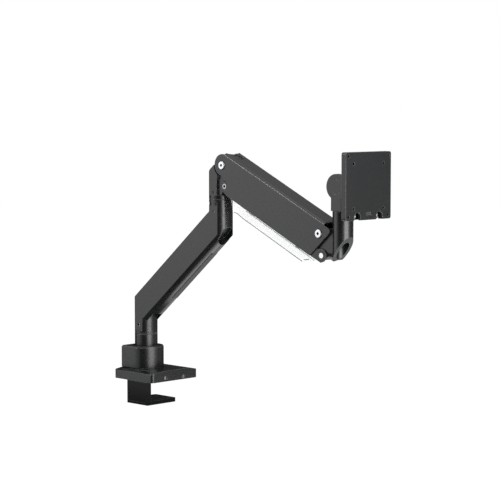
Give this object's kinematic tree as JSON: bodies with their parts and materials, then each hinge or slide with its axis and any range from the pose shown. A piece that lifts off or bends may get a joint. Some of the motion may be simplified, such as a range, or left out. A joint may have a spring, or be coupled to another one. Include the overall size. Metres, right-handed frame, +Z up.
{
  "type": "monitor arm",
  "caption": "Desk-clamped monitor arm with a slanted lower arm, a spring-balanced parallel upper arm and a tilting screen plate.",
  "frame": {"origin": "on the base swivel axis at the height of the desk surface", "axes": "+Z up, +X along the arm's reach at rest, toward the screen, +Y from the desk edge over the desk"},
  "size_m": [0.5879, 0.1207, 0.4809],
  "materials": {
    "black_paint": "satin powder coat",
    "bright_steel": "bright zinc",
    "plain_steel": "turned",
    "dark_steel": "black",
    "bush_plastic": "matte",
    "dark_plastic": "matte",
    "pad_rubber": "matte",
    "clear_plastic": "clear"
  },
  "bodies": {
    "base": {"base_plate": "black_paint", "desk_pad": "pad_rubber", "clamp_screw": "bright_steel", "side_screws": "bright_steel", "base_housing": "black_paint", "base_post": "plain_steel", "post_bolts": "bright_steel", "post_collar": "black_paint"},
    "clamp": {"clamp_bracket": "black_paint", "jaw_pad": "pad_rubber"},
    "fore_arm": {"lower_arm": "black_paint", "base_bush": "bush_plastic", "base_washer": "bush_plastic", "foot_screws": "bright_steel", "elbow_spigot": "plain_steel", "lower_cable_cover": "dark_plastic"},
    "elbow": {"elbow_knuckle": "black_paint", "elbow_bush": "bush_plastic", "elbow_washer": "bush_plastic", "knuckle_screws": "bright_steel", "rear_stubs": "plain_steel", "rear_pin": "bright_steel", "rear_screws": "bright_steel", "tension_screw": "plain_steel", "tension_nut": "plain_steel"},
    "spring_arm": {"upper_channel": "black_paint", "rear_bushes": "bush_plastic", "front_bushes": "bush_plastic", "spring_anchor": "dark_steel", "gas_cylinder": "dark_steel"},
    "inner_link": {"lower_channel": "black_paint", "link_bushes": "bush_plastic", "cable_cover": "clear_plastic", "cover_clips": "dark_plastic"},
    "spring_rod": {"gas_rod": "plain_steel", "rod_yoke": "dark_steel"},
    "front_link": {"front_knuckle": "black_paint", "front_stubs": "plain_steel", "front_pin": "bright_steel", "front_screws": "bright_steel", "head_bush": "bush_plastic", "head_washer": "bush_plastic"},
    "head": {"head_spindle": "plain_steel", "head_neck": "black_paint", "neck_screw": "bright_steel", "tilt_axle": "plain_steel", "tilt_washers": "bush_plastic", "tilt_caps": "black_paint"},
    "tilt": {"tilt_bracket": "black_paint"},
    "turner": {"turn_shaft": "plain_steel", "turn_nut": "plain_steel", "turn_washer": "bush_plastic", "receiver_plate": "black_paint", "lock_screws": "bright_steel"},
    "screen": {"screen_plate": "black_paint"}
  },
  "joints": [
    {"name": "clamp_slide", "type": "slide", "parent": "base", "child": "clamp", "axis": [0, 0, 1], "range_m": [0, 0.026]},
    {"name": "base_swivel", "type": "hinge", "parent": "base", "child": "fore_arm", "pos_m": [0, 0, 0.1], "axis": [0, 0, 1], "range_deg": [-180, 180]},
    {"name": "elbow_swivel", "type": "hinge", "parent": "fore_arm", "child": "elbow", "pos_m": [0.202, 0, 0.345], "axis": [0, 0, 1], "range_deg": [-110, 110]},
    {"name": "arm_lift", "type": "hinge", "parent": "elbow", "child": "spring_arm", "pos_m": [0.2247, 0, 0.4057], "axis": [0, -1, 0], "range_deg": [-12.9, 65]},
    {"name": "link_lift", "type": "hinge", "parent": "elbow", "child": "inner_link", "pos_m": [0.22834, 0, 0.3682], "axis": [0, -1, 0], "range_deg": [-13.9, 66]},
    {"name": "spring_stroke", "type": "slide", "parent": "spring_arm", "child": "spring_rod", "axis": [0.9059, 0, -0.4236], "range_m": [-0.0152, 0.0032]},
    {"name": "front_level", "type": "hinge", "parent": "spring_arm", "child": "front_link", "pos_m": [0.45914, 0, 0.29608], "axis": [0, -1, 0], "range_deg": [-66, 13.9]},
    {"name": "head_swivel", "type": "hinge", "parent": "front_link", "child": "head", "pos_m": [0.4968, 0, 0.3355], "axis": [0, 0, 1], "range_deg": [-90, 90]},
    {"name": "screen_tilt", "type": "hinge", "parent": "head", "child": "tilt", "pos_m": [0.4968, 0, 0.3765], "axis": [0, -1, 0], "range_deg": [-15, 60]},
    {"name": "screen_turn", "type": "hinge", "parent": "tilt", "child": "turner", "pos_m": [0.54, 0, 0.3796], "axis": [1, 0, 0], "range_deg": [-90, 90]},
    {"name": "plate_lift", "type": "slide", "parent": "turner", "child": "screen", "axis": [0, 0, 1], "range_m": [0, 0.025]}
  ],
  "couplings": [
    {"joint": "link_lift", "follows": "arm_lift", "ratio": 1},
    {"joint": "front_level", "follows": "arm_lift", "ratio": -1},
    {"joint": "spring_stroke", "follows": "arm_lift", "m_per_rad": -0.01315}
  ]
}
